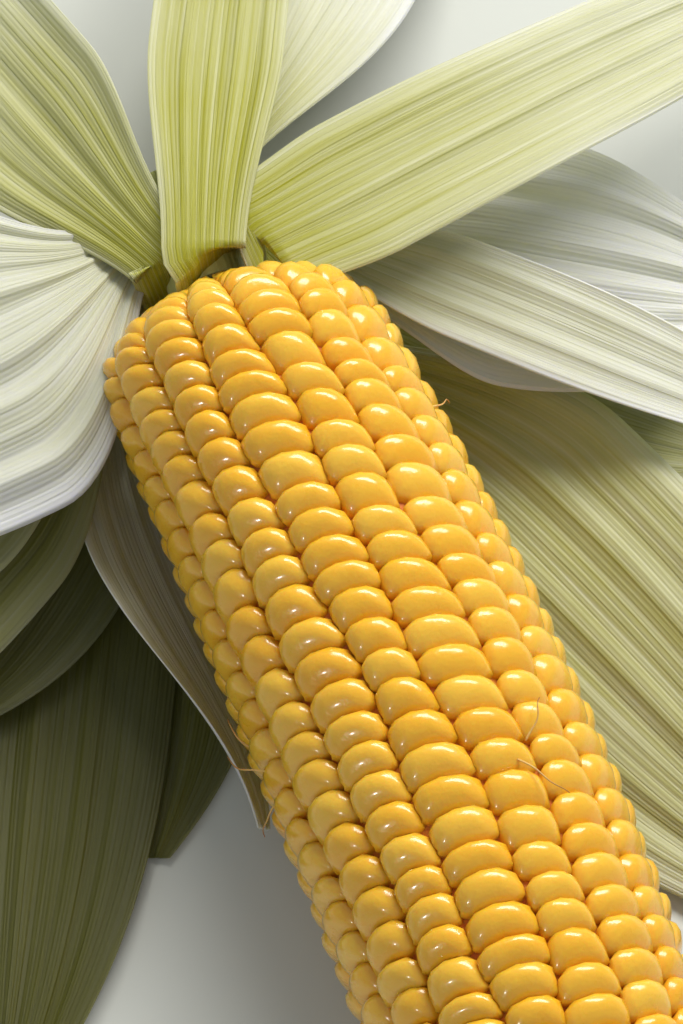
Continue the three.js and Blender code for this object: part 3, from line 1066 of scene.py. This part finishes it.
# the shade values are painted shade, on the leaves that lie in shadow on the lower left
HUSK = [
    HuskLeaf("left_broad", (10.5, 90, 0.4), 93, 30, 112, 13, 2, 17, 52, 0.2, 0.26, (-8, -12), -0.1,
             pleat=0.9, folds=6, ruffle=1.6, waves=2.2, pale=(0.5, 0.95, 1.0)),
    HuskLeaf("left_second", (9, 102, 0), 107, 8, 108, 10, 3, 9, 44, 0.14, 0.45, (-4, -2), -0.04,
             pleat=0.5, folds=5, ruffle=1.2, waves=1.6, pale=(0.0, 0.2, 0.45), shade=0.3),
    HuskLeaf("left_third", (11, 114, 0), 120, 4, 106, 8, 4, 8, 42, 0.14, 0.45, (0, 0), 0,
             ruffle=1.0, waves=1.4, pale=(0.0, 0.1, 0.25), shade=0.6),
    HuskLeaf("left_fourth", (13, 126, 0), 134, 0, 84, 5, 6, 2, 38, 0.14, 0.5, (0, 0), 0.02,
             pale=(0.0, 0.05, 0.15), shade=0.8),
    HuskLeaf("left_lowest", (16, 138, 0), 151, -14, 136, 2.4, 8, 0, 38, 0.14, 0.45, (0, 0), 0.03,
             folds=5, waves=1.4, pale=(0.0, 0.05, 0.1), shade=0.88),
    HuskLeaf("front_left", (11, 168, 0), 157, -8, 94, 0.4, 9, 0, 34, 0.16, 0.5, (0, 0), 0.02,
             pleat=0.2, ruffle=0.3, pale=(0.0, 0.0, 0.1), shade=0.8),
    HuskLeaf("curled", (6.6, 132, 0), 171, -57, 88, 10, 5, 1, 18, 0.24, 0.5, (-10, -64), 0.2,
             pleat=0.3, folds=3, waves=1.3, pale=(0.3, 0.7, 0.8), shade=0.05),
    HuskLeaf("back_left", (4, 40, 0.6), 15, 8, 118, 8, 2, 15, 28, 0.4, 0.3, (-30, 6), 0.1,
             folds=3.5, pale=(0.0, 0.45, 0.7), tuck=(1.5, -3.6, -9)),
    HuskLeaf("back", (1.5, 2, 2.4), -25, 4, 112, 18, 2, 12, 20, 0.6, 0.35, (0, 0), 0.12,
             pleat=0.35, folds=3, pale=(0.0, 0.15, 0.8), tuck=(0.6, -1.2, -10)),
    HuskLeaf("back_under", (14, -48, 0), -42, 0, 118, 0.4, 2, 4, 26, 0.2, 0.5, (20, 0), 0.05,
             pleat=0.25, folds=3, ruffle=0.4, pale=(0.0, 0.8, 1.0)),
    HuskLeaf("back_long", (0.8, -40, 4.8), -78, -2, 134, 22, 2, 10, 23, 0.85, 0.14, (0, 2), 0.1,
             pleat=0.35, folds=3, ruffle=0.7, waves=1.8, pale=(0.0, 0.45, 0.75), tuck=(0.5, -0.2, -8)),
    HuskLeaf("right_wavy", (12, -88, 0), -114, 4, 92, 10.5, 3, 6, 42, 0.16, 0.5, (0, 0), 0.02,
             pleat=1.0, folds=5, ruffle=1.2, waves=2.5, pale=(0.1, 0.9, 1.0)),
    HuskLeaf("right_narrow", (8.5, -78, 0), -127, 6, 104, 15, 1.6, 4, 16, 0.3, 0.35, (0, 12), 0.1,
             pleat=0.3, folds=2.5, ruffle=0.6, pale=(0.2, 0.7, 0.85)),
    HuskLeaf("right_under", (15, -116, 0), -130, 4, 96, 0.4, 7, 0, 36, 0.16, 0.5, (0, 0), 0.02,
             pleat=0.2, ruffle=0.3, pale=(0.0, 0.15, 0.3)),
    HuskLeaf("front_right", (8, -140, 0), -156, 10, 144, 6.5, 16, 0.5, 52, 0.08, 0.42, (6, 25), 0.06,
             pleat=0.5, folds=5, ruffle=1.0, waves=2.0, pale=(0.1, 0.25, 0.35)),
]


# ---- silk


@dataclass
class SilkStrand:
    """A short dry strand that rises out of a crease and bows over."""

    number: int
    along: float
    around: float
    length: float
    lean: float
    thickness: float = 0.17
    sunk: float = 0.9
    rise: float = 0.5
    bow: float = 1.5
    curl: float = 0.5
    tip_thinning: float = 0.6
    sides: int = 6
    steps: int = 18

    def build(self, form: EarForm, material: bpy.types.Material) -> None:
        """A tapering tube with closed ends round foot + lying * l * s + outward * l * rise * s * (bow - s).

        Args:
            form: The ear.
            material: The strand's finish.
        """
        around, lean = math.radians(self.around), math.radians(self.lean)
        outward = np.array([-math.sin(around), 0, math.cos(around)])
        sideways = np.array([-math.cos(around), 0, -math.sin(around)])
        lying = np.array([0, math.cos(lean), 0]) + sideways * math.sin(lean)
        along = np.array(self.along)
        crease = float(form.outline(along)) - self.sunk
        foot = outward * crease + np.array([float(form.bow(along)), -self.along, 0])
        share = np.linspace(0, 1, self.steps)[:, None]
        curl = self.curl * np.sin(7 * share + self.number) * share
        rise = self.rise * share * (self.bow - share)
        path = foot + lying * self.length * share + outward * self.length * rise
        path = path + np.cross(lying, outward) * curl
        tangent = np.gradient(path, axis=0)
        tangent /= np.linalg.norm(tangent, axis=1, keepdims=True)
        across = np.cross(tangent, outward)
        across /= np.linalg.norm(across, axis=1, keepdims=True)
        up = np.cross(across, tangent)
        turn = (2 * math.pi * np.arange(self.sides) / self.sides)[None, :, None]
        size = (self.thickness * (1 - self.tip_thinning * share))[:, None]
        tube = path[:, None] + size * (across[:, None] * np.cos(turn) + up[:, None] * np.sin(turn))
        points = form.on_axis(np.concatenate([tube.reshape(-1, 3), path[:1], path[-1:]]))
        faces = tube_faces(self.steps, self.sides)
        value = np.concatenate([np.repeat(share.ravel(), self.sides), [0, 1]])
        piece = make_piece(f"silk_{self.number}", points, faces, material, {"along": value})
        settle(piece, Slot.SILK, f"silk_strand_{self.number}")


SILK = [
    SilkStrand(1, 70, 76, 9, 60),
    SilkStrand(2, 74, 80, 7, 120),
    SilkStrand(3, 66, 83, 6, 20),
    SilkStrand(4, 82, -18, 8, -150),
    SilkStrand(5, 80, -24, 6, -40),
    SilkStrand(6, 30, -62, 5, -80),
]


# ---- studio


def compass(azimuth: float, elevation: float) -> Vector:
    """Direction (sin az * cos el, -cos az * cos el, sin el) of two angles in degrees."""
    turn, climb = math.radians(azimuth), math.radians(elevation)
    flat = math.cos(climb)
    return Vector((math.sin(turn) * flat, -math.cos(turn) * flat, math.sin(climb)))


@dataclass
class Lamp:
    """A soft box that looks at the ear from a direction. Its wide side is level."""

    name: str
    azimuth: float
    elevation: float
    distance: float
    wide: float
    tall: float
    power: float
    colour: Triple = (1.0, 1.0, 1.0)

    def build(self, target: Vector) -> None:
        """An area light at target + distance * direction, turned to the target.

        Args:
            target: Where it looks.
        """
        data = bpy.data.lights.new(self.name, "AREA")
        data.shape = "RECTANGLE"
        data.size = self.wide
        data.size_y = self.tall
        data.energy = self.power
        data.color = self.colour
        direction = compass(self.azimuth, self.elevation)
        lamp = bpy.data.objects.new(self.name, data)
        lamp.location = target + direction * self.distance
        lamp.rotation_euler = direction.to_track_quat("Z", "Y").to_euler()
        bpy.context.scene.collection.objects.link(lamp)


@dataclass
class Studio:
    """Camera, floor and light. The camera is at a distance from the butt end, above the ear and to its left.

    The view is view_size steps wide and high, and a step covers view_step millimetres at the butt end, which lies
    butt_in_view steps from the view's upper left corner.
    """

    form: EarForm
    azimuth: float = -20.0
    elevation: float = 65.0
    distance: float = 400.0
    view_step: float = 0.146
    butt_in_view: tuple[float, float] = (210.0, 290.0)
    view_size: tuple[int, int] = (683, 1024)
    sensor: float = 36.0
    near_clip: float = 0.01
    floor_side: float = 4.0
    target: Triple = (0.0, -0.01, 0.03)
    sky: Colour = (0.86, 0.93, 1.0, 1.0)
    sky_strength: float = 0.4
    lamps: list[Lamp] = field(default_factory=lambda: [
        Lamp("main", 136, 47, 1.0, 0.95, 0.36, 14.5, (1.0, 0.98, 0.95)),
        Lamp("front_left", -46, 24, 0.9, 0.035, 0.035, 0.6, (1.0, 0.98, 0.95)),
    ])

    def build(self) -> None:
        """Sets up the camera, the floor, the world and the lamps."""
        self.build_camera()
        self.build_floor()
        world = bpy.data.worlds.new("studio")
        world.use_nodes = True
        background = world.node_tree.nodes["Background"]
        background.inputs["Color"].default_value = self.sky
        background.inputs["Strength"].default_value = self.sky_strength
        bpy.context.scene.world = world
        for lamp in self.lamps:
            lamp.build(Vector(self.target))
        bpy.context.scene.view_settings.view_transform = "Standard"

    def build_camera(self) -> None:
        """Camera at butt + distance * back. It looks at the point that puts the butt end where it is in view."""
        azimuth = math.radians(self.azimuth)
        back = compass(self.azimuth, self.elevation)
        right = Vector((math.cos(azimuth), math.sin(azimuth), 0.0))
        up = back.cross(right)
        butt = Vector(self.form.origin * MM) + Vector((0, 0, self.form.axis_height * MM))
        across = (self.view_size[0] / 2 - self.butt_in_view[0]) * self.view_step * MM
        down = (self.view_size[1] / 2 - self.butt_in_view[1]) * self.view_step * MM
        data = bpy.data.cameras.new("camera")
        data.sensor_width = self.sensor
        data.lens = self.distance * (self.sensor / self.view_size[1]) / self.view_step
        data.clip_start = self.near_clip
        camera = bpy.data.objects.new("camera", data)
        camera.location = butt + back * self.distance * MM
        away = (camera.location - (butt + right * across - up * down)).normalized()
        level = up.cross(away).normalized()
        camera.rotation_euler = Matrix((level, away.cross(level), away)).transposed().to_euler()
        bpy.context.scene.collection.objects.link(camera)
        bpy.context.scene.camera = camera

    def build_floor(self) -> None:
        """A square floor at Z = 0."""
        side = self.floor_side / MM / 2
        points = np.array([[-side, -side, 0], [side, -side, 0], [side, side, 0], [-side, side, 0]])
        floor = make_piece("floor", points, [np.array([[0, 1, 2, 3]])], FloorFinish().material(), {})


# ---- making


def main() -> None:
    """Builds the ear, the shank, the husk, the silk and the studio, in that order."""
    logging.basicConfig(level=logging.INFO, format="%(name)s: %(message)s")
    form = EarForm()
    Kernels(form).build()
    Cob(form).build()
    Shank(form).build()
    for number, leaf in enumerate(HUSK):
        leaf.seed = number
        leaf.build(form)
    silk = SilkFinish().material()
    for strand in SILK:
        strand.build(form, silk)
    Studio(form).build()


if __name__ == "__main__":
    main()
